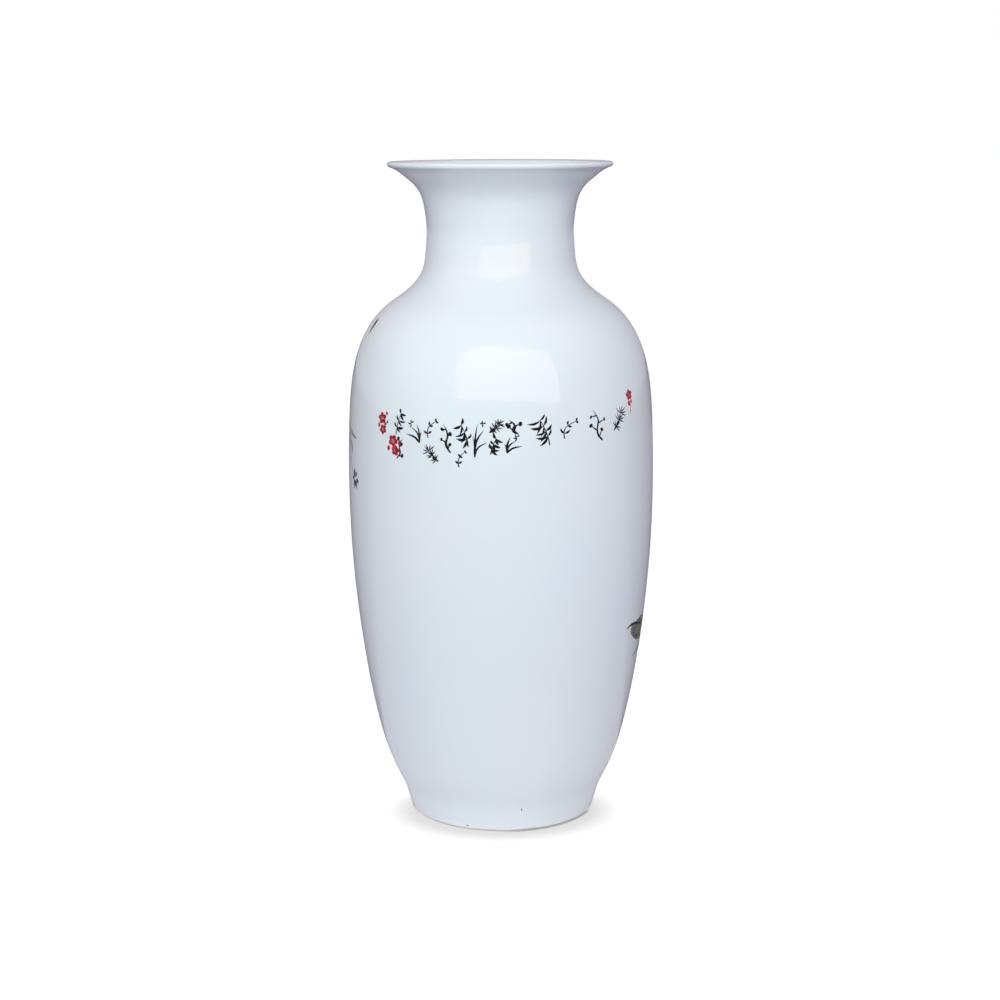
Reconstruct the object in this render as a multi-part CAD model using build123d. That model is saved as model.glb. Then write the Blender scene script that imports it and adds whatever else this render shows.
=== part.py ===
from build123d import *
import math
import os

# A free-standing baluster vase of white porcelain with a trumpet mouth, 460 mm tall.
#
# The body is thrown in four sections: a foot section with its turned foot ring, the lower and
# the upper half of the belly, and the neck with the mouth. Slip lutes them together along
# bevelled seams. Three coats of glaze cover the body: one outside and over the lip, one inside,
# and one under the base. The foot ring's contact face and its bevels are left bare.
#
# Frame: millimetres, +Z up, origin at the centre of the foot ring's contact face.

# ---- Driving dimensions ----
HEIGHT = 460.0           # overall, from the contact face to the top of the lip
GLAZE = 0.5              # each coat of glaze
WALL = 4.6               # glazed wall from the belly up
FOOT_WALL_EXTRA = 3.4    # added to the wall at the foot, fading out upwards
FOOT_WALL_FADE = 42.0    # height over which that extra falls to about a third
LIP_THICKNESS = 3.7      # rounded lip, glazed
FOOT_RADIUS = 65.8       # glazed outside of the foot, where the glaze starts
GLAZE_LINE = 2.0         # height at which the outer and the base glaze start
FOOT_BEVEL = 1.3         # bare bevel at each edge of the foot ring
FOOT_RING_WIDTH = 8.4    # glazed foot ring, outside to inside, at the glaze line
RECESS_HEIGHT = 7.5      # glazed underside of the base above the contact face
RECESS_DRAFT = 1.5       # how much narrower the recess is at the base than at the glaze line
RECESS_FILLET = 3.0      # glazed corner of the recess
FLOOR_HEIGHT = 15.5      # glazed floor inside, at the axis
SLIP = 0.6               # thickness of slip in a luted seam
SEAMS = {                # height at mid wall, and degrees by which the seam rises outwards
    "foot": (36.0, 5.0),
    "belly": (214.0, 28.0),
    "shoulder": (368.0, 28.0),
}
SECTIONS = ["foot_section", "lower_body", "upper_body", "neck_and_mouth"]   # from the bottom up

BEYOND = 150.0           # past every radius
SEAM_REACH = 9.0         # a seam's bevel runs this far each way from mid wall


def point(radius, height):
    """A point of the half section, which lies in the XZ plane."""
    return Vector(radius, 0, height)


# ---- Outline of the glazed outside, from the glaze line to the lip ----
OUTLINE_POINTS = [
    point(FOOT_RADIUS, GLAZE_LINE),
    point(67.8, 9.0),
    point(70.9, 18.5),
    point(75.7, 28.5),
    point(81.0, 41.0),
    point(89.3, 70.0),
    point(97.6, 115.0),
    point(103.2, 160.0),
    point(106.4, 205.0),
    point(107.1, 247.0),    # widest part of the belly
    point(105.8, 291.0),
    point(100.4, 327.0),
    point(91.7, 347.0),
    point(79.8, 361.0),     # shoulder
    point(65.1, 372.0),
    point(54.5, 385.0),
    point(51.5, 400.0),
    point(50.9, 416.0),     # narrowest part of the neck
    point(52.4, 429.0),
    point(54.5, 437.0),
    point(59.5, 444.5),
    point(65.7, 449.8),
    point(70.9, 453.8),
    point(76.5, HEIGHT - 3.65),    # the lip starts
]
OUTLINE = Spline(OUTLINE_POINTS)

# ---- Floor inside the vase, from the wall's foot to the axis ----
FLOOR_POINTS = [
    point(65.0, 26.5),
    point(57.5, 20.2),
    point(44.0, 17.0),
    point(22.0, FLOOR_HEIGHT + 0.3),
    point(0, FLOOR_HEIGHT),
]
LOWEST_WALL_KNOT = 4    # the outline's point whose offset the floor's curve starts from


def left_of(curve, place):
    """Unit vector to the left of a curve's direction, in the half section."""
    along = curve % curve.param_at_point(place)
    return Vector(-along.Z, 0, along.X)


def wall_at(height):
    """Thickness of the glazed wall at a height."""
    return WALL + FOOT_WALL_EXTRA * math.exp(-height / FOOT_WALL_FADE)


def lip_centre():
    return OUTLINE @ 1 + left_of(OUTLINE, OUTLINE @ 1) * (LIP_THICKNESS / 2)


def lip(depth):
    """The rounded lip at a depth under its glazed surface, from the outside over its tip."""
    across = left_of(OUTLINE, OUTLINE @ 1)
    radius = LIP_THICKNESS / 2 - depth
    centre = lip_centre()
    return ThreePointArc(centre - across * radius, centre + (OUTLINE % 1) * radius, centre + across * radius)


def outside(depth):
    """The outside of the wall at a depth under its glazed surface, upwards."""
    return Spline([place + left_of(OUTLINE, place) * depth for place in OUTLINE_POINTS])


def glazed_cavity_points():
    """Points of the glazed inside, from the lip down the wall and over the floor to the axis."""
    wall = [
        place + left_of(OUTLINE, place) * wall_at(place.Z)
        for place in OUTLINE_POINTS[LOWEST_WALL_KNOT:-1]
    ]
    wall.append(lip(0) @ 1)
    return wall[::-1] + FLOOR_POINTS


def cavity(depth):
    """The inside of the vase at a depth under its glazed surface, from the lip to the axis."""
    knots = glazed_cavity_points()
    glazed = Spline(knots)
    places = [place + left_of(glazed, place) * depth for place in knots[1:-1]]
    return Spline([lip(depth) @ 1, *places, point(0, FLOOR_HEIGHT - depth)])


def recess(depth):
    """The underside of the base at a depth under its glazed surface, from the axis to the glaze line."""
    lean = math.atan2(RECESS_DRAFT, RECESS_HEIGHT - GLAZE_LINE)
    bottom_radius = FOOT_RADIUS - FOOT_RING_WIDTH + depth / math.cos(lean)
    top = RECESS_HEIGHT + depth
    top_radius = bottom_radius - (top - GLAZE_LINE) * math.tan(lean)
    corners = [point(0, top), point(top_radius, top), point(bottom_radius, GLAZE_LINE)]
    return FilletPolyline(*corners, radius=RECESS_FILLET + depth)


def body_face():
    """Half section of the bare porcelain body, in one piece."""
    wall, rim, inside, base = outside(GLAZE), lip(GLAZE), cavity(GLAZE), recess(GLAZE)
    outer_top, inner_top = wall @ 0, base @ 1
    outer_edge = point(outer_top.X, FOOT_BEVEL)
    inner_edge = point(inner_top.X, FOOT_BEVEL)
    foot = Polyline(
        inner_top,
        inner_edge,
        point(inner_edge.X + FOOT_BEVEL, 0),
        point(outer_edge.X - FOOT_BEVEL, 0),
        outer_edge,
        outer_top,
    )
    axis = Line(inside @ 1, base @ 0)
    return make_face([wall, rim, inside, axis, base, foot])


def coat_face(surface, under):
    """Half section of a coat between two runs of curves that start and end at the same edges."""
    start = Line(surface[0] @ 0, under[0] @ 0)
    end = Line(surface[-1] @ 1, under[-1] @ 1)
    return make_face([*surface, end, *under, start])


def seam_line(height, rise, shift):
    """A seam across the wall from the axis outwards, moved up by shift at right angles to its bevel."""
    share = share_at(height)
    on_outline = OUTLINE @ share
    middle = on_outline + left_of(OUTLINE, on_outline) * (wall_at(height) / 2)
    along = point(math.cos(math.radians(rise)), math.sin(math.radians(rise)))
    middle = middle + point(-along.Z, along.X) * shift
    inner, outer = middle - along * SEAM_REACH, middle + along * SEAM_REACH
    return [point(0, inner.Z), inner, outer, point(BEYOND, outer.Z)]


def share_at(height):
    """How far along the outline it reaches a height, from 0 to 1. The outline rises all the way."""
    low, high = 0.0, 1.0
    for _ in range(50):
        middle = (low + high) / 2
        if (OUTLINE @ middle).Z < height:
            low = middle
        else:
            high = middle
    return low


def band(lower, upper):
    """The region of the half section between two seam lines."""
    return make_face(Polyline(*lower, *reversed(upper), close=True))


def turned(face):
    """The ring that a half section makes round the axis."""
    return revolve(face, Axis.Z, 360)


def body_parts():
    """The four thrown sections and the slip in the seams between them, by name."""
    body = body_face()
    bottom = [point(0, -BEYOND), point(BEYOND, -BEYOND)]
    top = [point(0, HEIGHT + BEYOND), point(BEYOND, HEIGHT + BEYOND)]
    parts, lower = {}, bottom
    for name, (seam, (height, rise)) in zip(SECTIONS, SEAMS.items()):
        under = seam_line(height, rise, -SLIP / 2)
        over = seam_line(height, rise, SLIP / 2)
        parts[name] = turned(body & band(lower, under))
        parts[seam + "_seam_slip"] = turned(body & band(under, over))
        lower = over
    parts[SECTIONS[-1]] = turned(body & band(lower, top))
    return parts


def glaze_parts():
    """The three coats of glaze, by name."""
    return {
        "outer_glaze": turned(coat_face([outside(0), lip(0)], [outside(GLAZE), lip(GLAZE)])),
        "inner_glaze": turned(coat_face([cavity(0)], [cavity(GLAZE)])),
        "base_glaze": turned(coat_face([recess(0)], [recess(GLAZE)])),
    }


os.makedirs("parts", exist_ok=True)
for name, shape in {**body_parts(), **glaze_parts()}.items():
    export_step(shape, f"parts/{name}.step")
    print(name, round(shape.volume), "mm3")
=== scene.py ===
import math
import random

import bmesh
import bpy
import numpy as np
from mathutils import Matrix, Vector, noise


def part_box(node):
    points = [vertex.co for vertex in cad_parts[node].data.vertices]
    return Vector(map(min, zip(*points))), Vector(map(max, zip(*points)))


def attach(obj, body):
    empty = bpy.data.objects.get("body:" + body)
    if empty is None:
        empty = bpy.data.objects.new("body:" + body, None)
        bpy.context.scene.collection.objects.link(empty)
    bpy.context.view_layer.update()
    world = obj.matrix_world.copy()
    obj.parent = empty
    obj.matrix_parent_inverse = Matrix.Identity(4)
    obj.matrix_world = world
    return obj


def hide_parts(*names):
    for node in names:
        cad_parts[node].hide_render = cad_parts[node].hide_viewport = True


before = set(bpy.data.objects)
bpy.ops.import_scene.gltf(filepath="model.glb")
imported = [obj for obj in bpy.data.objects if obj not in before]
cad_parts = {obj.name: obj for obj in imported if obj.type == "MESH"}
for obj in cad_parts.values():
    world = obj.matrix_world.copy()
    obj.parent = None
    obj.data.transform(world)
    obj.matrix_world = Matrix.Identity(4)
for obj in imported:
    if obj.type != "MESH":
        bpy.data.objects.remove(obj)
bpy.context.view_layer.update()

# The vase's glaze coats are turned again here as fine meshes, and the overglaze painting is laid
# on them as raised strokes. Lengths of the vase are in millimetres up to the mesh makers, which
# turn them into metres. +Z is up, and -Y is the side with the row of small sprigs.

MM = 0.001
BODY = "root"

# ---- Sizes that repeat the CAD design ----
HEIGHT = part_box("outer_glaze")[1].z / MM
GLAZE = 0.5
WALL = 4.6
FOOT_WALL_EXTRA = 3.4
FOOT_WALL_FADE = 42.0
LIP_THICKNESS = 3.7
GLAZE_LINE = 2.0
FOOT_RADIUS = 65.8
RECESS_TOP = 7.5
OUTLINE_KNOTS = [
    (FOOT_RADIUS, GLAZE_LINE), (67.8, 9.0), (70.9, 18.5), (75.7, 28.5), (81.0, 41.0), (89.3, 70.0),
    (97.6, 115.0), (103.2, 160.0), (106.4, 205.0), (107.1, 247.0), (105.8, 291.0), (100.4, 327.0),
    (91.7, 347.0), (79.8, 361.0), (65.1, 372.0), (54.5, 385.0), (51.5, 400.0), (50.9, 416.0),
    (52.4, 429.0), (54.5, 437.0), (59.5, 444.5), (65.7, 449.8), (70.9, 453.8), (76.5, HEIGHT - 3.65),
]
FLOOR_KNOTS = [(65.0, 26.5), (57.5, 20.2), (44.0, 17.0), (22.0, 15.8), (0.0, 15.5)]
LOWEST_WALL_KNOT = 4
RECESS_KNOTS = [(57.4, GLAZE_LINE), (56.55, 5.0), (55.4, 6.9), (53.0, RECESS_TOP), (0.0, RECESS_TOP)]

# ---- Fineness of the meshes ----
ROUND = 256              # facets round the vase
OUTER_STEPS = 230        # rings up the outside
INNER_STEPS = 150        # rings down the inside
LIP_STEPS = 12           # rings over the lip
UNDER_STEPS = 70         # rings up the glaze's hidden side
STROKE_STEPS = 160       # rings along the longest brush stroke

# ---- How deep an enamel stroke sits in the glaze, in millimetres ----
EDGE_SUNK = 0.02
BODY_SUNK = 0.08

# ---- Glaze ----
GLAZE_COOL = (0.735, 0.830, 0.865)
GLAZE_WARM = (0.760, 0.835, 0.850)
GLAZE_THIN = (0.82, 0.85, 0.86)
IRON_SPECK = (0.16, 0.12, 0.10)
SMOOTHEST, ROUGHEST = 0.004, 0.014       # roughness of the glaze from place to place

# ---- Stage ----
FLOOR_SIZE = 12.0
PAPER_SHADE = (0.10, 0.10, 0.10)
# Painted shadow: the floor glows white for the camera, and that glow is dimmed in an oval round the foot
SHADOW_SHIFT = (-0.0007, 0.0266, 0.0)
SHADOW_STRETCH = (1.0, 1.28, 0.0)
SHADOW_FADE = 0.0637, 0.0865             # metres from the shadow's centre
SHADOW_LEVELS = 0.67, 0.98
# Painted contact shadow: a dark line in the floor's glow close to the foot, on its front right
CONTACT_SHADOW_FADE = 0.0660, 0.0670            # metres from the vase's axis
CONTACT_SHADOW_LEVEL = 0.50
CONTACT_SHADOW_RIGHT = 0.060, 0.078             # where it starts, along the diagonal to the right
CONTACT_SHADOW_NEAR = -0.018, -0.026            # and towards the camera
TABLE_FADE = 0.12, 0.30                  # metres from the vase's axis
BEHIND_EDGE = 0.080, 0.088               # metres behind the vase's axis
BEHIND_SLANT = 0.25
# Colours of the table and the room as the glaze reflects them
TABLE_NEAR = (0.82, 0.80, 0.83)
TABLE_FRONT = (0.54, 0.52, 0.57)
TABLE_BEHIND = (0.21, 0.18, 0.23)
ROOM_FRONT = (0.46, 0.49, 0.51)
ROOM_LEFT = (0.94, 0.94, 1.01)
ROOM_RIGHT = (0.40, 0.32, 0.44)
ROOM_BEHIND = (0.44, 0.39, 0.47)
ROOM_ABOVE = (0.48, 0.45, 0.45)
SIDE_FADE = 0.2, 0.8                     # sideways part of the direction looked in
BACK_FADE = 0.0, 0.45                    # its part towards the back
RISE_FADE = 0.35, 0.9                    # its upward part
WINDOW_CORNERS = [(-1.06, 0.54), (1.78, 0.49), (1.76, 2.20), (-1.16, 2.38), (-1.33, 0.99)]
WINDOW_DISTANCE = 1.8
WINDOW_LIGHT = (2.75, 2.80, 2.80)
WINDOW_REFLECTED = (2.7, 1.80, 1.65)

# ---- Camera ----
CAMERA_DISTANCE = 1.37886
CAMERA_HEIGHT = 0.48833
CAMERA_PITCH = 10.889      # degrees below level
CAMERA_ROLL = -0.2
CAMERA_LENS = 71.32
VASE_OFFSET = -0.0008      # the camera stands this far left of the vase's axis


# ------------------------------------------------------------------ curves
def spline(knots, count):
    """Points evenly spaced in chord length on the natural cubic spline through knots."""
    knots = np.array(knots, float)
    chord = np.concatenate([[0], np.cumsum(np.linalg.norm(np.diff(knots, axis=0), axis=1))])
    step = np.diff(chord)
    size = len(knots)
    matrix, right = np.eye(size), np.zeros((size, knots.shape[1]))
    for i in range(1, size - 1):
        matrix[i, i - 1:i + 2] = step[i - 1], 2 * (step[i - 1] + step[i]), step[i]
        right[i] = 6 * ((knots[i + 1] - knots[i]) / step[i] - (knots[i] - knots[i - 1]) / step[i - 1])
    bend = np.linalg.solve(matrix, right)
    where = np.linspace(0, chord[-1], count)
    span = np.clip(np.searchsorted(chord, where, side="right") - 1, 0, size - 2)
    a = (chord[span + 1] - where) / step[span]
    b = 1 - a
    square = (step[span] ** 2 / 6)[:, None]
    line = a[:, None] * knots[span] + b[:, None] * knots[span + 1]
    return line + square * ((a**3 - a)[:, None] * bend[span] + (b**3 - b)[:, None] * bend[span + 1])


def left_normals(points):
    """Unit vectors to the left of a run of points in the half section."""
    forward = np.gradient(points, axis=0)
    forward /= np.linalg.norm(forward, axis=1)[:, None]
    return np.stack([-forward[:, 1], forward[:, 0]], axis=1)


def lip_points(outline, depth):
    """The rounded lip at a depth under its surface, from the outside over its tip to the crest."""
    across = left_normals(outline)[-1]
    forward = np.array([across[1], -across[0]])
    centre = outline[-1] + across * LIP_THICKNESS / 2
    turn = np.linspace(-math.pi / 2, math.pi / 2, LIP_STEPS)[:, None]
    return centre + (LIP_THICKNESS / 2 - depth) * (np.cos(turn) * forward + np.sin(turn) * across)


def wall_at(height):
    return WALL + FOOT_WALL_EXTRA * math.exp(-height / FOOT_WALL_FADE)


OUTLINE = spline(OUTLINE_KNOTS, OUTER_STEPS)


def radius_at(height):
    """Radius of the glazed outside at a height below the lip."""
    return float(np.interp(height, OUTLINE[:, 1], OUTLINE[:, 0]))


def cavity_points():
    """The glazed inside, from the lip down the wall and over the floor to the axis."""
    knots = np.array(OUTLINE_KNOTS)
    dense = spline(OUTLINE_KNOTS, 2000)
    inward = left_normals(dense)
    wall = []
    for knot in knots[LOWEST_WALL_KNOT:-1]:
        nearest = np.argmin(np.linalg.norm(dense - knot, axis=1))
        wall.append(tuple(knot + inward[nearest] * wall_at(knot[1])))
    wall.append(tuple(lip_points(dense, 0)[-1]))
    return spline(wall[::-1] + FLOOR_KNOTS, INNER_STEPS)


# ------------------------------------------------------------------ meshes
def add_mesh(name, vertices, faces, material):
    """A smooth-shaded piece from vertices in millimetres, riding on the vase."""
    mesh = bpy.data.meshes.new(name)
    mesh.from_pydata([tuple(c * MM for c in v) for v in vertices], [], faces)
    shape = bmesh.new()
    shape.from_mesh(mesh)
    bmesh.ops.recalc_face_normals(shape, faces=shape.faces)
    shape.to_mesh(mesh)
    shape.free()
    mesh.shade_smooth()
    mesh.materials.append(material)
    piece = bpy.data.objects.new(name, mesh)
    bpy.context.scene.collection.objects.link(piece)
    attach(piece, BODY)
    return piece


def turned(name, loop, material, shift=None):
    """A closed ring or cap turned from a closed loop in the half section, counter-clockwise.

    shift(angle, radius, height) gives a small move (outwards, upwards) of each point."""
    vertices, rings = [], []
    for radius, height in loop:
        if radius < 1e-6:
            rings.append([len(vertices)])
            vertices.append((0.0, 0.0, height))
            continue
        rings.append(list(range(len(vertices), len(vertices) + ROUND)))
        for i in range(ROUND):
            angle = 2 * math.pi * i / ROUND
            out, up = shift(angle, radius, height) if shift else (0.0, 0.0)
            r = radius + out
            vertices.append((r * math.sin(angle), -r * math.cos(angle), height + up))
    faces = []
    for lower, upper in zip(rings, rings[1:] + rings[:1]):
        if len(lower) == 1 and len(upper) == 1:
            continue
        for i in range(ROUND):
            j = (i + 1) % ROUND
            corners = [lower[i % len(lower)], lower[j % len(lower)]]
            corners += [upper[j % len(upper)], upper[i % len(upper)]]
            faces.append(list(dict.fromkeys(corners)))
    return add_mesh(name, vertices, faces, material)


def glaze_ripple(angle, radius, height):
    """The slow unevenness of thrown and glazed porcelain: faint throwing rings and glaze ripple."""
    x, y = radius * math.sin(angle), -radius * math.cos(angle)
    ripple = noise.noise(Vector((x, y, height * 1.3)) / 24.0) * 0.045
    ripple += noise.noise(Vector((x, y, height * 1.6)) / 9.0 + Vector((7.1, 3.3, 5.2))) * 0.010
    rings = noise.noise(Vector((math.sin(angle) * 0.3, math.cos(angle) * 0.3, height / 11.0))) * 0.035
    fade = min(1.0, max(0.0, (height - GLAZE_LINE) / 8.0))
    return (ripple + rings) * fade, 0.0


def outer_shift(angle, radius, height):
    """Ripple, and a glaze line that wavers a little round the foot."""
    out, _ = glaze_ripple(angle, radius, height)
    near_line = max(0.0, 1.0 - (height - GLAZE_LINE) / 3.0)
    waver = noise.noise(Vector((math.sin(angle) * 3.2, math.cos(angle) * 3.2, 1.7))) * 0.45
    return out, waver * near_line


# ------------------------------------------------------------------ materials
class Nodes:
    """A node tree with short ways to add to it."""

    def add(self, kind, **settings):
        node = self.tree.nodes.new(kind)
        for key, value in settings.items():
            setattr(node, key, value)
        return node

    def link(self, source, target):
        self.tree.links.new(source, target)

    def feed(self, socket, value):
        """Gives a socket another node's output, a colour or a number."""
        if isinstance(value, bpy.types.NodeSocket):
            self.link(value, socket)
        elif isinstance(value, tuple):
            socket.default_value = (*value, 1)
        else:
            socket.default_value = value

    def remap(self, value, low, high, to_low=0.0, to_high=1.0):
        node = self.add("ShaderNodeMapRange")
        numbers = {"From Min": low, "From Max": high, "To Min": to_low, "To Max": to_high}
        for socket, number in numbers.items():
            node.inputs[socket].default_value = number
        self.link(value, node.inputs["Value"])
        return node.outputs["Result"]

    def mix(self, share, first, second):
        """Mixes two colours or sockets; share is a number or a socket."""
        node = self.add("ShaderNodeMix", data_type="RGBA")
        self.feed(node.inputs[0], share)
        self.feed(node.inputs[6], first)
        self.feed(node.inputs[7], second)
        return node.outputs[2]

    def maths(self, operation, first, second):
        node = self.add("ShaderNodeMath", operation=operation)
        self.feed(node.inputs[0], first)
        self.feed(node.inputs[1], second)
        return node.outputs["Value"]


class Paint(Nodes):
    """A procedural material with its shader, and short ways to add textures."""

    def __init__(self, name, **constants):
        self.material = bpy.data.materials.new(name)
        self.material.use_nodes = True
        self.tree = self.material.node_tree
        self.shader = next(n for n in self.tree.nodes if n.type == "BSDF_PRINCIPLED")
        for socket, value in constants.items():
            self.shader.inputs[socket.replace("_", " ")].default_value = value
        self.place = self.add("ShaderNodeTexCoord").outputs["Object"]

    def noise(self, scale, detail=2.0, roughness=0.5):
        """Noise with features about 1/scale metres across."""
        node = self.add("ShaderNodeTexNoise")
        node.inputs["Scale"].default_value = scale
        node.inputs["Detail"].default_value = detail
        node.inputs["Roughness"].default_value = roughness
        self.link(self.place, node.inputs["Vector"])
        return node.outputs["Fac"]

    def height(self):
        node = self.add("ShaderNodeSeparateXYZ")
        self.link(self.place, node.inputs["Vector"])
        return node.outputs["Z"]

    def ramp(self, value, stops):
        """A colour ramp; each stop is (position, grey or colour)."""
        node = self.add("ShaderNodeValToRGB")
        elements = node.color_ramp.elements
        while len(elements) < len(stops):
            elements.new(0.5)
        for element, (position, colour) in zip(elements, stops):
            element.position = position
            colour = colour if isinstance(colour, tuple) else (colour, colour, colour)
            element.color = (*colour, 1)
        self.link(value, node.inputs["Fac"])
        return node.outputs["Color"]

    def specks(self, scale, size, share):
        """Round specks: 1 inside a speck; share of the cells hold one."""
        cells = self.add("ShaderNodeTexVoronoi")
        cells.inputs["Scale"].default_value = scale
        self.link(self.place, cells.inputs["Vector"])
        pick = self.add("ShaderNodeSeparateColor")
        self.link(cells.outputs["Color"], pick.inputs["Color"])
        chosen = self.maths("LESS_THAN", pick.outputs["Red"], share)
        round_spot = self.remap(cells.outputs["Distance"], size * 0.5, size, 1.0, 0.0)
        return self.maths("MULTIPLY", chosen, round_spot)

    def bump(self, value, depth):
        node = self.add("ShaderNodeBump")
        node.inputs["Distance"].default_value = depth
        node.inputs["Strength"].default_value = 1.0
        self.link(value, node.inputs["Height"])
        self.link(node.outputs["Normal"], self.shader.inputs["Normal"])

    def colour(self, value):
        self.link(value, self.shader.inputs["Base Color"])

    def roughness(self, value):
        self.link(value, self.shader.inputs["Roughness"])


def glaze_material(name, seed_scale, speck_share):
    """Clear blue-white glaze over porcelain, with cloudy tint, a paler thin edge at the glaze line, specks,
    pits and orange peel.
    """
    paint = Paint(name, IOR=1.5, Specular_IOR_Level=0.5)
    cloud = paint.ramp(paint.noise(seed_scale, detail=3), [(0.38, 0.0), (0.62, 1.0)])
    colour = paint.mix(cloud, GLAZE_COOL, GLAZE_WARM)
    thin = paint.remap(paint.height(), (GLAZE_LINE + 4.0) * MM, GLAZE_LINE * MM, 0.0, 0.8)
    colour = paint.mix(thin, colour, GLAZE_THIN)
    specks = paint.specks(62.0, 0.028, speck_share)
    colour = paint.mix(specks, colour, IRON_SPECK)
    paint.colour(colour)
    paint.roughness(paint.remap(paint.noise(45.0, detail=4), 0.3, 0.7, SMOOTHEST, ROUGHEST))
    peel = paint.noise(190.0, detail=1.5)
    pits = paint.maths("MULTIPLY", paint.specks(120.0, 0.05, 0.02), -6.0)
    paint.bump(paint.maths("ADD", peel, pits), 0.000008)
    return paint.material


def biscuit_material():
    """Bare fired porcelain: matt, fine-grained, toasted beside the glaze, with painted shade making the
    toast darker on the right side, rubbed on the contact face.
    """
    paint = Paint("biscuit", Specular_IOR_Level=0.35)
    grain = paint.noise(1800.0, detail=4, roughness=0.7)
    clay = paint.mix(paint.ramp(grain, [(0.35, 0.0), (0.7, 1.0)]), (0.70, 0.66, 0.60), (0.82, 0.79, 0.74))
    edge = paint.remap(paint.height(), 0.9 * MM, 2.0 * MM)
    sides = paint.add("ShaderNodeSeparateXYZ")
    paint.link(paint.place, sides.inputs["Vector"])
    # Painted shade: the toast beside the glaze is faint on the left and full on the right, where the foot
    # lies in shade
    edge = paint.maths("MULTIPLY", edge, paint.remap(sides.outputs["X"], -5 * MM, 55 * MM, 0.12, 1.0))
    toast_and_painted_shade = paint.maths("MULTIPLY", edge, paint.remap(paint.noise(70.0, detail=3), 0.3, 0.6, 0.45, 1.0))
    colour = paint.mix(toast_and_painted_shade, clay, (0.30, 0.17, 0.10))
    grime = paint.ramp(paint.noise(95.0, detail=5), [(0.5, 0.0), (0.75, 0.5)])
    colour = paint.mix(grime, colour, (0.52, 0.46, 0.40))
    paint.colour(colour)
    paint.roughness(paint.remap(grain, 0.2, 0.8, 0.62, 0.88))
    paint.bump(grain, 0.00006)
    return paint.material


OUTER_GLAZE = glaze_material("outer_glaze", 9.0, 0.012)
INNER_GLAZE = glaze_material("inner_glaze", 14.0, 0.03)
BASE_GLAZE = glaze_material("base_glaze", 20.0, 0.05)
BISCUIT = biscuit_material()


# ------------------------------------------------------------------ the glaze coats
def outer_coat():
    """The outer glaze: up the outside, over the lip, back down its underside, with a rolled lower edge."""
    surface = OUTLINE.copy()
    roll = np.exp(-((surface[:, 1] - GLAZE_LINE - 0.9) / 1.1) ** 2) * 0.16
    surface[:, 0] += roll
    under = spline(OUTLINE_KNOTS, UNDER_STEPS)
    under = under + left_normals(under) * GLAZE
    over_lip = lip_points(OUTLINE, 0)
    under_lip = lip_points(OUTLINE, GLAZE)
    edge = [(FOOT_RADIUS - 0.35, GLAZE_LINE - 0.62), (FOOT_RADIUS - 0.05, GLAZE_LINE - 0.50)]
    loop = [*surface, *over_lip[1:], *under_lip[::-1], *under[-2::-1], *edge]
    piece = turned("glaze_outside", loop, OUTER_GLAZE, outer_shift)
    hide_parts("outer_glaze")


def inner_coat():
    """The inner glaze, from the lip's crest down the wall and over the dished floor."""
    surface = cavity_points()
    under = surface + left_normals(surface) * GLAZE
    under[-1] = 0.0, surface[-1][1] - GLAZE
    under = under[np.r_[0:len(under):3, len(under) - 1]]
    loop = [*surface, *under[::-1]]
    piece = turned("glaze_inside", loop, INNER_GLAZE, glaze_ripple)
    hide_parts("inner_glaze")


def recess_shift(angle, radius, height):
    """The trimming tool's fine rings under the base, softened by the glaze."""
    ring = 0.05 * math.sin(radius * 1.9) * noise.noise(Vector((radius / 9.0, angle * 0.7, 0.0)))
    return 0.0, ring if height > RECESS_TOP - 0.6 and radius < 52 else 0.0


def base_coat():
    """The glaze of the recess under the base."""
    rise = spline(RECESS_KNOTS[:4], 16)
    flat = [(radius, RECESS_TOP) for radius in np.linspace(RECESS_KNOTS[3][0], 0, 54)[1:]]
    surface = np.array([*rise, *flat])
    inside = surface - left_normals(surface) * GLAZE
    inside[-1] = 0.0, RECESS_TOP + GLAZE
    inside = inside[np.r_[0:len(inside):3, len(inside) - 1]]
    loop = [*inside, *surface[::-1]]
    piece = turned("glaze_under_base", loop, BASE_GLAZE, recess_shift)
    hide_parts("base_glaze")


outer_coat()
inner_coat()
base_coat()
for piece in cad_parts.values():
    if not piece.hide_render:
        for index in range(len(piece.data.materials)):
            piece.data.materials[index] = BISCUIT


# ------------------------------------------------------------------ overglaze enamels
def enamel_material(name, dark, light, patch, gloss):
    """A fired enamel: thin and thick places from pale to dark, in patches 1/patch metres across."""
    paint = Paint(name, IOR=1.25, Specular_IOR_Level=0.3)
    cloud = paint.noise(patch, detail=4, roughness=0.6)
    paint.colour(paint.ramp(cloud, [(0.34, dark), (0.66, light)]))
    paint.roughness(paint.remap(paint.noise(900.0), 0.3, 0.7, gloss, gloss + 0.14))
    paint.bump(paint.noise(1500.0, detail=2), 0.00002)
    return paint.material


INK = enamel_material("ink_enamel", (0.004, 0.004, 0.005), (0.020, 0.019, 0.022), 230.0, 0.22)
RED = enamel_material("red_enamel", (0.30, 0.006, 0.016), (0.54, 0.035, 0.045), 300.0, 0.20)
ROSE = enamel_material("pink_enamel", (0.42, 0.06, 0.12), (0.78, 0.33, 0.40), 260.0, 0.16)
VIOLET = enamel_material("violet_enamel", (0.008, 0.004, 0.010), (0.040, 0.018, 0.038), 300.0, 0.40)
GREEN = enamel_material("green_enamel", (0.085, 0.098, 0.080), (0.25, 0.27, 0.20), 170.0, 0.22)
# Near white, whiter than the glaze: the bead at the neck shows as a painted glint
MILKY_GLAZE_GLINT = enamel_material("milky_glaze_painted_glint", (0.85, 0.89, 0.92), (0.90, 0.93, 0.95), 200.0, 0.02)
BROWN = enamel_material("brown_enamel", (0.050, 0.036, 0.046), (0.22, 0.17, 0.18), 120.0, 0.24)

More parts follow.
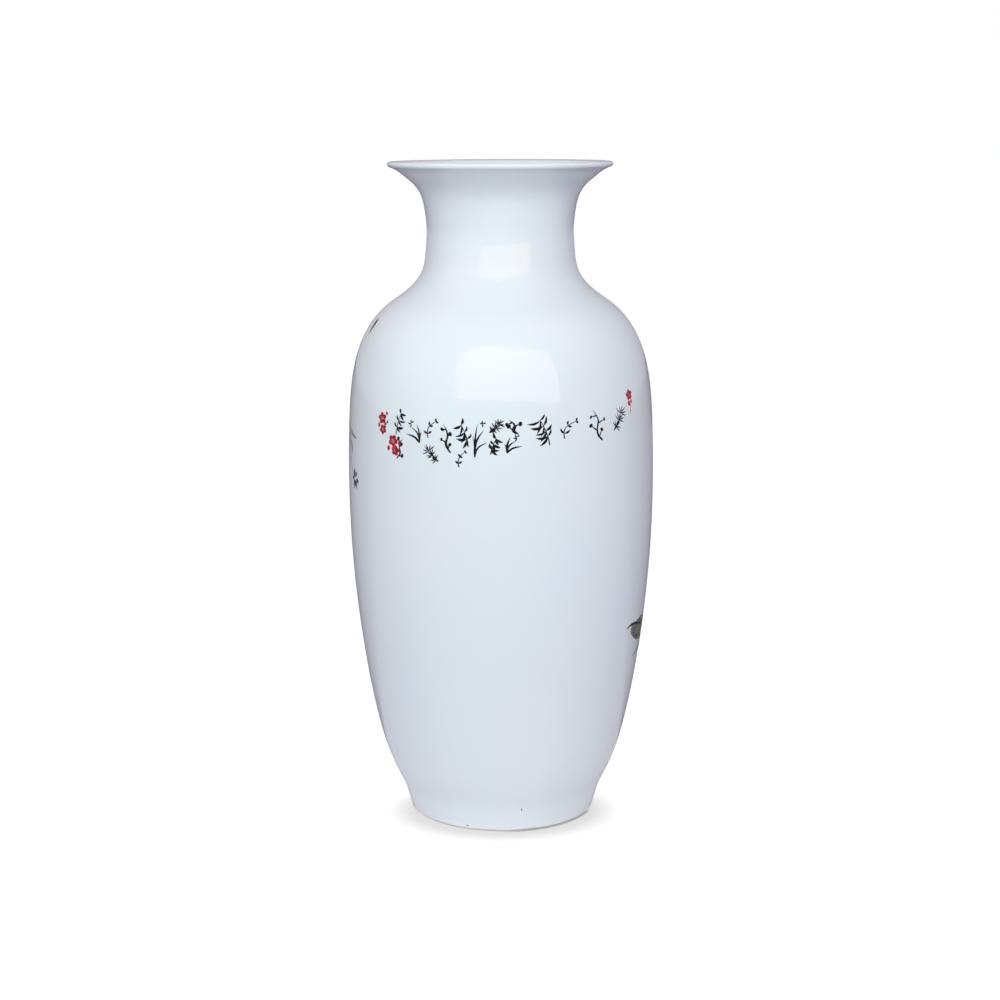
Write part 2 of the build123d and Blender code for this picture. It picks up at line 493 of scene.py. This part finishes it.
# Widths along a stroke, as shares of its full width
LEAF = (0.10, 0.62, 0.98, 0.90, 0.55, 0.05)
BLADE = (0.55, 1.0, 0.95, 0.80, 0.50, 0.05)
LINE = (0.75, 1.0, 0.80, 0.95, 0.60)
EVEN = (1.0, 1.0)
PETAL = (0.30, 0.80, 1.0, 0.98, 0.90)
HAIR = (1.0, 0.8, 0.6, 0.5)


def per_degree(height):
    """Millimetres along the surface for each degree round the vase."""
    return math.radians(radius_at(height))


def at(anchor, points):
    """Places (degrees, height) of points given in millimetres right of and above an anchor."""
    turn, height = anchor
    return [(turn + x / per_degree(height), height + y) for x, y in points]


def on_glaze(turn, height, lift):
    """A point lifted off the glazed outside; turn is in degrees from the front towards the right."""
    angle = math.radians(turn)
    radius = radius_at(height)
    radius += glaze_ripple(angle, radius, height)[0] + lift
    return radius * math.sin(angle), -radius * math.cos(angle), height


class Layer:
    """One colour of enamel: closed, slightly raised brush strokes, gathered into one piece."""

    def __init__(self, name, material, slot, lift, seed):
        self.name, self.material, self.slot, self.lift = name, material, slot, lift
        self.random = random.Random(seed)
        self.vertices, self.faces = [], []

    def stroke(self, places, width, shape=LINE, ragged=0.0, steps=None):
        """A stroke through places (degrees, height), with rounded ends and a domed section."""
        path = spline(places, 60) if len(places) > 2 else np.linspace(places[0], places[1], 60)
        scale = np.array([per_degree(h) for h in path[:, 1]])
        flat = np.stack([(path[:, 0] - path[0, 0]) * scale, path[:, 1]], axis=1)
        run = np.concatenate([[0], np.cumsum(np.linalg.norm(np.diff(flat, axis=0), axis=1))])
        length = run[-1]
        steps = steps or int(min(STROKE_STEPS, max(8, length / min(2.2, max(0.35, width * 0.3)))))
        share = (1 - np.cos(np.linspace(0.04, math.pi - 0.04, steps))) / 2
        across = 3 + 2 * int(min(5, width / 2.2))
        seed = Vector((self.random.uniform(0, 90), self.random.uniform(0, 90), 0))
        rings = []
        for t in share:
            turn, height = (np.interp(t * length, run, path[:, k]) for k in (0, 1))
            ahead = [np.interp(min(length, t * length + 0.05), run, path[:, k]) for k in (0, 1)]
            behind = [np.interp(max(0, t * length - 0.05), run, path[:, k]) for k in (0, 1)]
            k = per_degree(height)
            dx, dy = (ahead[0] - behind[0]) * k, ahead[1] - behind[1]
            size = math.hypot(dx, dy) or 1.0
            normal = -dy / size, dx / size
            half = width / 2 * float(np.interp(t, np.linspace(0, 1, len(shape)), shape))
            end = min(t, 1 - t) * length
            if end < half:
                half *= math.sqrt(max(0.0004, 1 - (1 - end / half) ** 2))
            sides = []
            for side in (-1, 1):
                wobble = noise.noise(seed + Vector((t * length / 3.0, side * 7.0, 0))) * ragged
                sides.append(half * (1 + wobble))
            top, bottom = [], []
            for i in range(across):
                c = -1 + 2 * i / (across - 1)
                offset = c * (sides[0] if c < 0 else sides[1])
                place = turn + normal[0] * offset / k, height + normal[1] * offset
                dome = self.lift * math.sqrt(max(0.0, 1 - c * c)) - EDGE_SUNK
                top.append(on_glaze(*place, dome))
                if 0 < i < across - 1:
                    bottom.append(on_glaze(*place, -BODY_SUNK))
            rings.append(top + bottom[::-1])
        self.add_tube(rings)

    def add_tube(self, rings):
        start, size = len(self.vertices), len(rings[0])
        for ring in rings:
            self.vertices.extend(ring)
        for row in range(len(rings) - 1):
            for i in range(size):
                j = (i + 1) % size
                a, b = start + row * size, start + (row + 1) * size
                self.faces.append([a + i, b + i, b + j, a + j])
        self.faces.append([start + i for i in range(size)])
        last = start + (len(rings) - 1) * size
        self.faces.append([last + i for i in reversed(range(size))])

    def dot(self, place, size, stretch=1.0, lean=90.0):
        """A round or oval dab; lean is the direction of its length in degrees."""
        dx = math.cos(math.radians(lean)) * size * stretch / 2
        dy = math.sin(math.radians(lean)) * size * stretch / 2
        self.stroke(at(place, [(-dx, -dy), (dx, dy)]), size, EVEN, steps=9)

    def make(self):
        return add_mesh(self.name, self.vertices, self.faces, self.material)


def spot(anchor, point):
    """The place of one point given in millimetres right of and above an anchor."""
    return at(anchor, [point])[0]


def ray(length, lean):
    """The end of a straight run that leans so many degrees from +X."""
    return length * math.cos(math.radians(lean)), length * math.sin(math.radians(lean))


# ------------------------------------------------------------------ the row of sprigs on the front
def leaf(layer, root, length, lean, width, bend=0.12):
    """A tapered leaf from a root place, bending a little to one side."""
    x, y = ray(length, lean)
    side = length * bend
    middle = x * 0.5 - y / length * side, y * 0.5 + x / length * side
    layer.stroke(at(root, [(0, 0), middle, (x, y)]), width, LEAF)


def along(points, share):
    """The point a share of the way along a run of points, and the direction there in degrees."""
    path = spline(points, 40)
    i = min(38, int(share * 39))
    step = path[i + 1] - path[i]
    return tuple(path[i]), math.degrees(math.atan2(step[1], step[0]))


def bamboo(layer, centre, tall, wide):
    """A leaning bamboo twig with drooping leaves, most of them on its lee side."""
    rnd = layer.random
    lee = rnd.choice((-1, 1))
    stem = [(-lee * wide * 0.30, -tall * 0.48), (-lee * wide * 0.16, 0.0), (lee * wide * 0.12, tall * 0.46)]
    layer.stroke(at(centre, stem), 1.1, HAIR)
    for share in np.linspace(0.34, 0.98, max(3, round(tall / 5.0))):
        root, lean = along(stem, share)
        falls = (lee, rnd.uniform(118, 150)), (lee, rnd.uniform(70, 100)), (-lee, rnd.uniform(36, 70))
        for side, fall in falls:
            size = min(tall, wide) * rnd.uniform(0.46, 0.64) * (1.0 if side == lee else 0.7)
            width = rnd.uniform(1.8, 2.5)
            leaf(layer, spot(centre, root), size, lean - side * fall, width, -0.12 * side)


def orchid(layer, centre, tall, wide):
    """A clump of arching blades sweeping to one side, with a small flower above them."""
    rnd = layer.random
    sweep = rnd.choice((-1, 1))
    foot = -sweep * wide * 0.32, -tall * 0.5
    for reach, rise in ((0.95, 0.42), (0.66, 0.80), (0.22, 0.98), (-0.16, 0.62)):
        across = sweep * wide * reach * rnd.uniform(0.85, 1.0)
        tip = foot[0] + across, foot[1] + tall * rise * rnd.uniform(0.9, 1.0)
        bow = foot[0] + (tip[0] - foot[0]) * 0.36, foot[1] + (tip[1] - foot[1]) * 0.72
        layer.stroke(at(centre, [foot, bow, tip]), rnd.uniform(1.5, 2.2), BLADE)
    flower = spot(centre, (foot[0] + sweep * wide * 0.56, foot[1] + tall * 0.92))
    for lean in (100, 170, 20, 250):
        leaf(layer, flower, min(tall, wide) * 0.24, lean + rnd.uniform(-15, 15), 1.3)


def twig(layer, centre, tall, wide):
    """A crooked plum twig with short spurs and round buds."""
    rnd = layer.random
    lean = rnd.choice((-1, 1))
    stem = [(-lean * wide * 0.34, -tall * 0.5), (-lean * wide * 0.02, -tall * 0.22),
            (-lean * wide * 0.10, tall * 0.10), (lean * wide * 0.22, tall * 0.5)]
    layer.stroke(at(centre, stem), 2.1, BLADE, ragged=0.6)
    for i, share in enumerate((0.16, 0.38, 0.58, 0.80)):
        root, direction = along(stem, share)
        side = 1 if i % 2 else -1
        x, y = ray(wide * rnd.uniform(0.24, 0.44), direction + side * rnd.uniform(38, 70))
        end = root[0] + x, root[1] + y
        layer.stroke(at(centre, [root, end]), 1.3, BLADE)
        layer.dot(spot(centre, end), rnd.uniform(2.0, 2.8), 1.15, rnd.uniform(40, 140))


def pine(layer, centre, tall, wide):
    """Overlapping fans of needles on a short bough."""
    rnd = layer.random
    lean = rnd.choice((-1, 1))
    bough = [(-lean * wide * 0.42, -tall * 0.46), (0.0, -tall * 0.18), (lean * wide * 0.24, tall * 0.08)]
    layer.stroke(at(centre, bough), 2.0, BLADE, ragged=0.5)
    for share, size in ((0.25, 0.40), (0.62, 0.46), (0.98, 0.50)):
        root, direction = along(bough, share)
        for turn in range(-80, 81, 32):
            length = min(tall, wide) * size * rnd.uniform(0.8, 1.1)
            leaf(layer, spot(centre, root), length, direction + turn + rnd.uniform(-8, 8), 1.15, 0.04)


def fern(layer, centre, tall, wide):
    """An arching stem with small oval leaves in pairs that shrink towards its tip."""
    rnd = layer.random
    lean = rnd.choice((-1, 1))
    stem = [(-lean * wide * 0.30, -tall * 0.5), (-lean * wide * 0.22, tall * 0.12),
            (lean * wide * 0.34, tall * 0.46)]
    layer.stroke(at(centre, stem), 1.2, HAIR)
    for share in np.linspace(0.18, 0.96, max(3, round(tall / 3.6))):
        root, direction = along(stem, share)
        for side in (-1, 1):
            size = min(tall, wide) * (0.42 - 0.22 * share) * rnd.uniform(0.85, 1.1)
            turn = side * rnd.uniform(42, 64)
            leaf(layer, spot(centre, root), size, direction + turn, 2.0, 0.1 * side)


# Each sprig: motif, degrees round from the front, height of its middle, its height and its width
SPRIGS = [
    (fern, -46.3, 288.0, 6.0, 5.5),
    (bamboo, -39.3, 290.5, 16.0, 10.0), (twig, -38.8, 274.0, 13.5, 9.0),
    (orchid, -32.4, 285.8, 13.5, 12.0),
    (fern, -25.2, 289.0, 12.0, 10.0), (pine, -25.0, 273.5, 12.5, 10.5),
    (twig, -19.8, 283.5, 19.0, 10.0),
    (bamboo, -13.5, 285.8, 15.5, 12.0), (fern, -13.8, 270.3, 11.0, 7.5),
    (orchid, -7.6, 283.5, 24.0, 9.5),
    (pine, -2.0, 292.5, 10.0, 9.5), (bamboo, -2.2, 279.0, 11.5, 9.0),
    (twig, 4.1, 291.5, 9.5, 12.0), (orchid, 4.1, 280.0, 11.0, 11.5),
    (bamboo, 14.9, 287.5, 18.0, 15.5),
    (fern, 25.6, 288.5, 12.0, 15.5),
    (twig, 36.7, 289.5, 21.0, 14.5),
    (pine, 48.0, 293.5, 20.0, 13.0),
]


def sprig_row():
    ink = Layer("sprigs_ink", INK, "ink_enamel", 0.075, 11)
    for motif, turn, middle, tall, wide in SPRIGS:
        motif(ink, (turn, middle), tall, wide)
    ink.make()


def blossom(petals, lines, place, size, tilt, squash=1.0):
    """A five-petalled blossom with veined petals and dotted stamens."""
    for i in range(5):
        lean = tilt + 72 * i
        x, y = ray(size * 0.5, lean)
        x0, y0 = ray(size * 0.09, lean)
        petals.stroke(at(place, [(x0, y0 * squash), (x, y * squash)]), size * 0.46, PETAL, steps=12)
    for i in range(7):
        lean = tilt + 20 + 51.4 * i
        x, y = ray(size * lines.random.uniform(0.18, 0.27), lean)
        lines.stroke(at(place, [(0, 0), (x, y * squash)]), size * 0.035 + 0.12, HAIR, steps=6)
        lines.dot(spot(place, (x, y * squash)), size * 0.05 + 0.18)
    lines.dot(place, size * 0.09)


# Red blossoms at the ends of the row: degrees, height, size, tilt; then the buds: degrees, height, size
ROW_BLOSSOMS = [(-48.4, 292.6, 8.2, 100), (-47.9, 285.2, 7.0, 50), (-42.4, 278.6, 8.6, 64),
                (-41.2, 272.2, 7.2, 10), (55.4, 306.2, 7.4, 30)]
ROW_BUDS = [(-50.2, 287.8, 2.6), (-46.0, 296.2, 2.2), (-44.6, 273.4, 2.8), (-39.3, 277.4, 2.6),
            (55.0, 300.6, 3.0), (56.6, 301.6, 2.2)]


def red_blossoms():
    """Small red blossoms and buds at both ends of the row of sprigs."""
    red = Layer("row_blossoms_red", RED, "red_enamel", 0.09, 21)
    stamens = Layer("row_blossoms_stamens", INK, "ink_enamel", 0.12, 22)
    for turn, height, size, tilt in ROW_BLOSSOMS:
        blossom(red, stamens, (turn, height), size, tilt)
    for turn, height, size in ROW_BUDS:
        red.dot((turn, height), size, 1.25)
    red.stroke([(55.7, 301.0), (55.9, 297.0), (55.6, 292.8)], 0.9, BLADE)
    red.make()
    stamens.make()


# ------------------------------------------------------------------ the painting round the back
# Branches of an old plum tree: places (degrees, height) and the widths at both ends
BRANCHES = [
    ([(115, 42), (122, 82), (139, 112), (145, 152), (164, 186), (177, 226), (201, 256), (221, 296),
      (238, 326)], 13.0, 2.6),
    ([(143, 138), (128, 152), (112, 142), (97, 127), (86, 121.6), (77, 120.8), (69.2, 118.2)], 6.0, 1.1),
    ([(158, 176), (151, 208), (137, 236), (133, 262), (118, 288)], 5.2, 1.2),
    ([(184, 238), (175, 270), (181, 300), (168, 328)], 4.6, 1.1),
    ([(205, 264), (228, 262), (247, 246), (262, 232), (272, 208)], 4.8, 1.0),
    ([(227, 306), (249, 318), (264, 340), (273, 356)], 3.4, 1.2),
    ([(250, 243), (264, 262), (275, 280), (280, 281)], 2.6, 0.9),
    ([(150, 200), (164, 214), (160, 236)], 2.4, 0.8),
    ([(112, 143), (107, 162), (113, 182)], 2.2, 0.8),
    ([(240, 250), (250, 226), (262, 206), (259, 188)], 2.6, 0.8),
    ([(133, 250), (146, 262), (152, 282)], 2.0, 0.7),
]


def along_branch(branch, share):
    """Place, direction in degrees and width at a share of a branch's length."""
    places, thick, thin = branch
    path = spline(places, 80)
    i = min(78, int(share * 79))
    place = tuple(path[i])
    step = path[i + 1] - path[i]
    lean = math.degrees(math.atan2(step[1], step[0] * per_degree(place[1])))
    return place, lean, thick + (thin - thick) * share


def tree():
    """The plum tree: brown washes, ink streaks and edge lines over them, and moss dots."""
    wash = Layer("tree_wash_brown", BROWN, "brown_enamel", 0.07, 31)
    ink = Layer("tree_lines_ink", INK, "ink_enamel", 0.105, 32)
    moss = Layer("tree_moss_green", GREEN, "green_enamel", 0.12, 33)
    rnd = ink.random
    for branch in BRANCHES:
        places, thick, thin = branch
        taper = tuple(np.linspace(1.0, thin / thick, 7))
        wash.stroke(places, thick, taper, ragged=0.55)
        streaks = round(2 + thick * 1.5)
        for _ in range(streaks):
            start = rnd.uniform(0.0, 0.8)
            end = min(0.99, start + rnd.uniform(0.10, 0.32))
            side = rnd.choice((-0.46, -0.40, 0.44, 0.47, -0.2, 0.1, 0.28))
            line = []
            for share in np.linspace(start, end, 5):
                place, lean, width = along_branch(branch, share)
                line.append(spot(place, ray(width * side + rnd.uniform(-0.12, 0.12), lean + 90)))
            ink.stroke(line, rnd.uniform(0.5, 0.9 + thick * 0.07), BLADE, ragged=0.8)
        for _ in range(round(thick * 0.9)):
            place, lean, width = along_branch(branch, rnd.uniform(0.03, 0.75))
            edge = spot(place, ray(width * rnd.choice((-0.55, 0.55)), lean + 90))
            layer = moss if rnd.random() < 0.6 else ink
            layer.dot(edge, rnd.uniform(0.9, 1.9), 1.2, rnd.uniform(0, 180))
    for layer in (wash, ink, moss):
        layer.make()


def clearance(centre, size, taken, share):
    """The least gap in millimetres to the places taken, less a share of both sizes."""
    k = per_degree(centre[1])
    gaps = [math.hypot((centre[0] - turn) * k, centre[1] - height) - (size + other) * share
            for turn, height, other in taken]
    return min(gaps, default=99)


def blossoms():
    """Blossoms, half-open blossoms and buds along the thinner branches."""
    rose = Layer("plum_petals_rose", ROSE, "pink_enamel", 0.10, 41)
    lines = Layer("plum_lines_red", RED, "red_enamel", 0.13, 42)
    rnd = rose.random
    taken = []
    for branch in BRANCHES:
        for share in np.arange(0.12, 1.0, 0.055):
            place, lean, width = along_branch(branch, share)
            side = rnd.choice((-1, 1))
            size = rnd.uniform(9.0, 14.5)
            reach = width / 2 + rnd.uniform(1.0, 6.5)
            centre = spot(place, ray(reach * side, lean + 90))
            blossom_gap = clearance(centre, size, taken, 0.42)
            bud_gap = clearance(centre, 0.0, taken, 0.5)
            if width < 7.5 and blossom_gap > 0 and rnd.random() < 0.62 and 103 < centre[0] < 268:
                taken.append((*centre, size))
                blossom(rose, lines, centre, size, rnd.uniform(0, 72), rnd.uniform(0.72, 1.0))
            elif bud_gap > 2.5 and rnd.random() < 0.6 and 103 < centre[0] < 272:
                taken.append((*centre, 3.0))
                lines.stroke([place, centre], 0.5, HAIR)
                rose.dot(centre, rnd.uniform(2.2, 3.2), 1.15, lean + 90)
                lines.dot(spot(centre, (0, -0.9)), 1.1)
    rose.make()
    lines.make()


def leaves():
    """Young leaves at the branch tips and a tuft of grass at the foot of the tree."""
    green = Layer("plum_leaves_green", GREEN, "green_enamel", 0.09, 51)
    rnd = green.random
    for branch in BRANCHES[1:]:
        place, lean, _ = along_branch(branch, 0.98)
        for turn in (-34, 8, 46) if 90 < place[0] < 268 else ():
            leaf(green, place, rnd.uniform(7.0, 11.5), lean + turn, rnd.uniform(1.7, 2.6))
    for x in range(-34, 40, 5):
        foot = spot((118, 50), (x + rnd.uniform(-2, 2), rnd.uniform(-5, 3)))
        tall = rnd.uniform(9, 24)
        tip = rnd.uniform(-9, 9)
        green.stroke(at(foot, [(0, 0), (tip * 0.3, tall * 0.6), (tip, tall)]), rnd.uniform(1.0, 1.8), BLADE)
    green.make()


# The small violet flower at the twig's end: its place, and its petals' roots (mm), directions and lengths
TIP_FLOWER = (-69.4, 243.8)
TIP_PETALS = [(-1.6, 4.0, 80, 4.6), (1.6, 3.6, 60, 3.6), (0.6, 2.6, 130, 4.2), (-0.4, 1.0, -60, 6.4),
              (-1.0, 0.6, -112, 5.6), (-3.4, 1.2, -80, 5.0), (2.0, 1.4, -20, 4.6), (-2.4, 2.0, 168, 3.6)]


def near_tips():
    """The ends of the painting that come round to the left of the front."""
    brown = Layer("near_tips_brown", BROWN, "brown_enamel", 0.09, 71)
    green = Layer("near_tips_green", GREEN, "green_enamel", 0.10, 72)
    violet = Layer("near_tips_violet", VIOLET, "pink_enamel", 0.11, 73)
    violet.stroke([(-75.4, 354.6), (-75.0, 349.3), (-74.4, 343.8)], 5.0, BLADE, ragged=0.4)
    twig_places = [(-80.0, 283.0), (-78.4, 270.0), (-78.0, 261.2), (-75.0, 256.5), (-73.2, 250.6),
                   (-69.8, 246.8)]
    brown.stroke(twig_places, 1.3)
    green.stroke([(-79.0, 280.0), (-74.6, 276.6), (-67.0, 273.4)], 2.6, LEAF)
    green.stroke([(-79.2, 279.0), (-77.4, 274.0), (-77.6, 268.0)], 2.4, LEAF)
    violet.stroke([(-75.6, 271.0), (-74.0, 266.6), (-73.4, 262.4)], 2.8, LEAF)
    for x, y, lean, size in TIP_PETALS:
        leaf(violet, spot(TIP_FLOWER, (x, y)), size * 1.1, lean, 3.4)
    for layer in (brown, green, violet):
        layer.make()


def bird():
    """A small perched bird of no particular kind, its tail towards the front."""
    green = Layer("bird_body_green", GREEN, "green_enamel", 0.10, 61)
    ink = Layer("bird_feathers_ink", INK, "ink_enamel", 0.14, 62)
    body = (82.0, 141.5)
    green.stroke(at(body, [(-27, 1.4), (-14, 0.6), (2, -3.0)]), 5.5, (0.3, 0.8, 1.0))
    green.stroke(at(body, [(-34.5, -0.8), (-21, -5.0), (-4, -6.6), (8, -3.0), (16, 4.0)]), 15.0,
                 (0.42, 0.90, 1.0, 0.88, 0.72))
    green.stroke(at(body, [(13, 3.5), (22, 11.5)]), 12.0, EVEN)
    ink.stroke(at(body, [(-41.9, 0.5), (-36, 2.1), (-26.8, 1.6), (-15.5, -1.2), (-9, -4.2)]), 2.6,
               (0.35, 0.8, 1.0, 0.8, 0.4))
    ink.stroke(at(body, [(-28, 1.6), (-19, 3.2), (-10, 3.4), (-3, 1.2), (5, -0.6)]), 1.6, LINE)
    for i in range(6):
        start = 8 - i * 2.2, -0.8 - i * 1.5
        end = -20 + i * 2.2, 2.2 - i * 1.3
        middle = (start[0] + end[0]) / 2, (start[1] + end[1]) / 2 + 0.4
        ink.stroke(at(body, [start, middle, end]), 1.2, (0.5, 1.0, 0.9, 0.75, 0.3))
    for i in range(24):
        x = -21 + i * 1.6 + ink.random.uniform(-0.8, 0.8)
        y = -9.0 + i * 0.30 + ink.random.uniform(-2.2, 2.2)
        ink.stroke(at(body, [(x, y), (x - 2.4, y - 0.7)]), 0.5, BLADE)
    ink.stroke(at(body, [(14, 15.0), (21, 17.4), (27, 14.2)]), 3.0, LEAF)
    ink.stroke(at(body, [(26.5, 12.6), (32.5, 11.2)]), 2.0, (1.0, 0.8, 0.1))
    ink.dot(spot(body, (22.6, 13.0)), 1.7)
    for x in (-6.0, 1.5):
        ink.stroke(at(body, [(x + 2.4, -12.4), (x + 1.2, -16.2), (x - 0.4, -19.6)]), 1.2, LINE)
        for toe in (-4.6, -1.4, 2.2):
            ink.stroke(at(body, [(x - 0.4, -19.4), (x - 0.4 + toe, -21.4)]), 1.1, BLADE)
    green.make()
    ink.make()


def iron_specks():
    """Two specks of iron that have burnt through the glaze near the foot."""
    specks = Layer("iron_specks", INK, "ink_enamel", 0.25, 81)
    specks.dot((11.0, 17.5), 1.1)
    specks.dot((-21.5, 3.2), 1.3, 1.2, 0)
    specks.make()


def glaze_bead_and_painted_glint():
    """A pin-point of milky glaze where the neck runs into the shoulder, near white so that it shows as a
    painted glint.
    """
    bead = Layer("glaze_bead_and_painted_glint", MILKY_GLAZE_GLINT, "outer_glaze", 0.06, 82)
    # Painted glint: a small low bead whiter than the glaze round it
    bead.dot((-0.6, 379.9), 2.0, 1.3, 60)
    bead.make()


iron_specks()
glaze_bead_and_painted_glint()
sprig_row()
red_blossoms()
tree()
blossoms()
leaves()
near_tips()
bird()


# ------------------------------------------------------------------ stage, lights and camera
def stage_mesh(name, corners, material):
    """A flat piece of the studio."""
    mesh = bpy.data.meshes.new(name)
    mesh.from_pydata(corners, [], [tuple(range(len(corners)))])
    mesh.materials.append(material)
    piece = bpy.data.objects.new(name, mesh)
    bpy.context.scene.collection.objects.link(piece)


def floor():
    """A level square that the vase stands on."""
    half = FLOOR_SIZE / 2
    corners = [(-half, -half, 0), (half, -half, 0), (half, half, 0), (-half, half, 0)]
    stage_mesh("studio_floor", corners, floor_material())


def fill_light(name, centre, target, width, height, power, colour):
    """A soft light that shows in no reflection."""
    light = bpy.data.lights.new(name, "AREA")
    light.shape = "RECTANGLE"
    light.size = width
    light.size_y = height
    light.energy = power
    light.color = colour
    lamp = bpy.data.objects.new(name, light)
    lamp.location = centre
    lamp.rotation_euler = (Vector(target) - Vector(centre)).to_track_quat("-Z", "Y").to_euler()
    lamp.visible_glossy = False
    bpy.context.scene.collection.objects.link(lamp)


def floor_material():
    """White paper glowing for the camera, with a painted soft shadow round the foot and a painted contact
    shadow at its front right, and a greyer table in the vase's reflections.
    """
    paint = Paint("studio_floor", Roughness=0.9, Specular_IOR_Level=0.0)
    length = paint.add("ShaderNodeVectorMath", operation="LENGTH")
    paint.link(paint.place, length.inputs[0])
    distance = length.outputs["Value"]
    axes = paint.add("ShaderNodeSeparateXYZ")
    paint.link(paint.place, axes.inputs["Vector"])
    table = paint.mix(paint.remap(distance, *TABLE_FADE), TABLE_NEAR, TABLE_FRONT)
    aside = paint.maths("MULTIPLY", paint.maths("ABSOLUTE", axes.outputs["X"], 0.0), BEHIND_SLANT)
    behind = paint.maths("SUBTRACT", axes.outputs["Y"], aside)
    table = paint.mix(paint.remap(behind, *BEHIND_EDGE), table, TABLE_BEHIND)
    seen = paint.add("ShaderNodeLightPath").outputs["Is Camera Ray"]
    paint.colour(paint.mix(seen, table, PAPER_SHADE))
    # Painted shadow: the glow the camera sees is dimmed in an oval round the foot, by position only
    oval = paint.add("ShaderNodeMapping")
    oval.inputs["Location"].default_value = SHADOW_SHIFT
    oval.inputs["Scale"].default_value = SHADOW_STRETCH
    paint.link(paint.place, oval.inputs["Vector"])
    shadow = paint.add("ShaderNodeVectorMath", operation="LENGTH")
    paint.link(oval.outputs["Vector"], shadow.inputs[0])
    paper_glow_and_painted_shadow = paint.remap(shadow.outputs["Value"], *SHADOW_FADE, *SHADOW_LEVELS)
    paper_glow_and_painted_shadow = paint.maths("MULTIPLY", seen, paper_glow_and_painted_shadow)
    # Painted contact shadow: the glow is darkened in a thin band next to the foot, on its front right
    right = paint.remap(paint.maths("SUBTRACT", axes.outputs["X"], axes.outputs["Y"]), *CONTACT_SHADOW_RIGHT)
    right = paint.maths("MULTIPLY", right, paint.remap(axes.outputs["Y"], *CONTACT_SHADOW_NEAR))
    contact = paint.remap(distance, *CONTACT_SHADOW_FADE, CONTACT_SHADOW_LEVEL, 1.0)
    gap = paint.mix(right, (1.0, 1.0, 1.0), contact)
    paper_glow_and_painted_shadow = paint.maths("MULTIPLY", paper_glow_and_painted_shadow, gap)
    paint.shader.inputs["Emission Color"].default_value = (1, 1, 1, 1)
    paint.link(paper_glow_and_painted_shadow, paint.shader.inputs["Emission Strength"])
    return paint.material


def window():
    """A bright window in front of the vase and above the camera, not quite square."""
    paint = Paint("studio_window", Base_Color=(0, 0, 0, 1), Specular_IOR_Level=0.0, Emission_Strength=1.0)
    mirrored = paint.add("ShaderNodeLightPath").outputs["Is Glossy Ray"]
    paint.link(paint.mix(mirrored, WINDOW_LIGHT, WINDOW_REFLECTED), paint.shader.inputs["Emission Color"])
    corners = [(x, -WINDOW_DISTANCE, z) for x, z in WINDOW_CORNERS]
    stage_mesh("studio_window", corners, paint.material)


class Studio(Nodes):
    """The world's nodes."""

    def __init__(self):
        world = bpy.data.worlds.new("studio")
        bpy.context.scene.world = world
        world.use_nodes = True
        self.tree = world.node_tree
        self.tree.nodes.clear()

    def background(self, colour):
        node = self.add("ShaderNodeBackground")
        self.feed(node.inputs["Color"], colour)
        return node.outputs[0]


def studio_world():
    """A grey room, much brighter on the left; white where the camera looks past the vase."""
    studio = Studio()
    place = studio.add("ShaderNodeTexCoord").outputs["Generated"]
    axes = studio.add("ShaderNodeSeparateXYZ")
    studio.link(place, axes.inputs["Vector"])
    leftward = studio.maths("MULTIPLY", axes.outputs["X"], -1.0)
    room = studio.mix(studio.remap(leftward, *SIDE_FADE), ROOM_FRONT, ROOM_LEFT)
    room = studio.mix(studio.remap(axes.outputs["X"], *SIDE_FADE), room, ROOM_RIGHT)
    room = studio.mix(studio.remap(axes.outputs["Y"], *BACK_FADE), room, ROOM_BEHIND)
    room = studio.mix(studio.remap(axes.outputs["Z"], *RISE_FADE), room, ROOM_ABOVE)
    choice = studio.add("ShaderNodeMixShader")
    studio.link(studio.add("ShaderNodeLightPath").outputs["Is Camera Ray"], choice.inputs[0])
    studio.link(studio.background(room), choice.inputs[1])
    studio.link(studio.background((1.0, 1.0, 1.0)), choice.inputs[2])
    output = studio.add("ShaderNodeOutputWorld")
    studio.link(choice.outputs[0], output.inputs["Surface"])


def camera():
    data = bpy.data.cameras.new("camera")
    data.lens = CAMERA_LENS
    data.sensor_width = 36.0
    data.clip_end = 50.0
    eye = bpy.data.objects.new("camera", data)
    place = Matrix.Translation((VASE_OFFSET, -CAMERA_DISTANCE, CAMERA_HEIGHT))
    level = Matrix.Rotation(math.radians(90 - CAMERA_PITCH), 4, "X")
    eye.matrix_world = place @ level @ Matrix.Rotation(math.radians(CAMERA_ROLL), 4, "Z")
    bpy.context.scene.collection.objects.link(eye)
    bpy.context.scene.camera = eye


floor()
studio_world()
window()
fill_light("overhead", centre=(-0.5, -0.3, 2.6), target=(0, 0, 0), width=1.2, height=1.2,
           power=4.5, colour=(1.0, 0.92, 0.90))
fill_light("rear_fill", centre=(0.3, 1.9, 0.45), target=(0, 0, 0.25), width=1.2, height=0.8,
           power=9.0, colour=(1.0, 0.98, 0.98))
camera()
scene = bpy.context.scene
scene.view_settings.view_transform = "Standard"
scene.cycles.use_denoising = True
